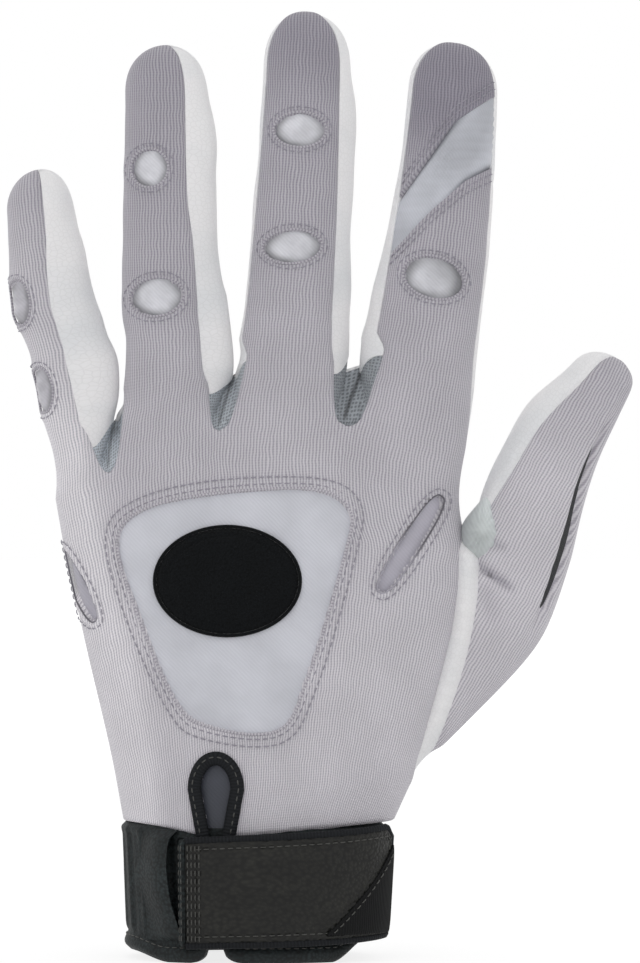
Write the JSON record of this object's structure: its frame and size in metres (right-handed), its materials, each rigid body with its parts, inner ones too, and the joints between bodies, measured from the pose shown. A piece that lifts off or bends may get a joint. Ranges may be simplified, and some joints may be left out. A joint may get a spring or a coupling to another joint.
{
  "type": "tennis glove",
  "caption": "Left-hand tennis glove with stretch-knit back, leather palm and fingers, knuckle inserts, back window and a hook-and-loop wrist strap",
  "frame": {"origin": "middle of the bounding box, on the plane of the cuff's rim", "axes": "+Z runs from the cuff to the fingertips, +X towards the thumb, -Y out of the back of the hand and +Y out of the palm"},
  "size_m": [0.1496, 0.0434, 0.2278],
  "materials": {
    "knit_grey": "ribbed stretch knit",
    "white_leather": "soft smooth leather",
    "stretch_insert": "thin smooth stretch cloth",
    "mesh_grey": "open stretch mesh",
    "cuff_black": "padded matt cloth with topstitched edges",
    "badge_black": "plush pile",
    "hook_and_loop": "hook and loop pile",
    "label_black": "plain woven",
    "elastic_black": "ribbed elastic webbing",
    "tongue_slate": "stretch cloth"
  },
  "bodies": {
    "hand": {"cuff_left_lobe": "cuff_black", "cuff_palm_band": "cuff_black", "cuff_right_lobe": "cuff_black", "hand_back": "knit_grey", "index_side_slit_insert": "mesh_grey", "keyhole_binding": "cuff_black", "keyhole_tongue": "tongue_slate", "little_side_slit_insert": "mesh_grey", "loop_patch": "hook_and_loop", "oval_badge": "badge_black", "palm_leather": "white_leather", "strap_root": "cuff_black", "thumb_side_leather": "white_leather", "vent_insert": "stretch_insert", "web_gusset_little_ring": "mesh_grey", "web_gusset_middle_index": "mesh_grey", "web_gusset_ring_middle": "mesh_grey", "wrist_elastic": "elastic_black"},
    "strap": {"hook_patch": "hook_and_loop", "strap_corner_label": "label_black", "strap_tab": "cuff_black"},
    "index_finger": {"index_back": "knit_grey", "index_fourchette_outward": "white_leather", "index_front": "white_leather", "index_knuckle_insert_1": "stretch_insert", "index_stretch_band": "stretch_insert", "index_tip_back": "knit_grey"},
    "little_finger": {"little_back": "knit_grey", "little_fourchette_thumbward": "white_leather", "little_front": "white_leather", "little_knuckle_insert_1": "stretch_insert", "little_knuckle_insert_2": "stretch_insert"},
    "middle_finger": {"middle_back": "knit_grey", "middle_fourchette_outward": "white_leather", "middle_fourchette_thumbward": "white_leather", "middle_front": "white_leather", "middle_knuckle_insert_1": "stretch_insert", "middle_knuckle_insert_2": "stretch_insert"},
    "ring_finger": {"ring_back": "knit_grey", "ring_fourchette_outward": "white_leather", "ring_fourchette_thumbward": "white_leather", "ring_front": "white_leather", "ring_knuckle_insert_1": "stretch_insert", "ring_knuckle_insert_2": "stretch_insert"},
    "thumb": {"thumb_back": "knit_grey", "thumb_front": "white_leather", "thumb_slit_insert": "mesh_grey", "thumb_web_gusset": "mesh_grey"}
  },
  "joints": [
    {"name": "little_flex", "type": "hinge", "parent": "hand", "child": "little_finger", "pos_m": [-0.05683, 0.01209, 0.11475], "axis": [-1, 0, 0], "range_deg": [0, 80]},
    {"name": "ring_flex", "type": "hinge", "parent": "hand", "child": "ring_finger", "pos_m": [-0.03698, 0.01309, 0.1236], "axis": [-1, 0, 0], "range_deg": [0, 80]},
    {"name": "middle_flex", "type": "hinge", "parent": "hand", "child": "middle_finger", "pos_m": [-0.00903, 0.01359, 0.12835], "axis": [-1, 0, 0], "range_deg": [0, 80]},
    {"name": "index_flex", "type": "hinge", "parent": "hand", "child": "index_finger", "pos_m": [0.02027, 0.01339, 0.125], "axis": [-1, 0, 0], "range_deg": [0, 80]},
    {"name": "thumb_flex", "type": "hinge", "parent": "hand", "child": "thumb", "pos_m": [0.03042, 0.00669, 0.0705], "axis": [0.2322, 0, 0.9727], "range_deg": [0, 40]},
    {"name": "strap_peel", "type": "hinge", "parent": "hand", "child": "strap", "pos_m": [-0.03239, -0.02001, 0.0173], "axis": [0, 0, -1], "range_deg": [0, 150]}
  ]
}
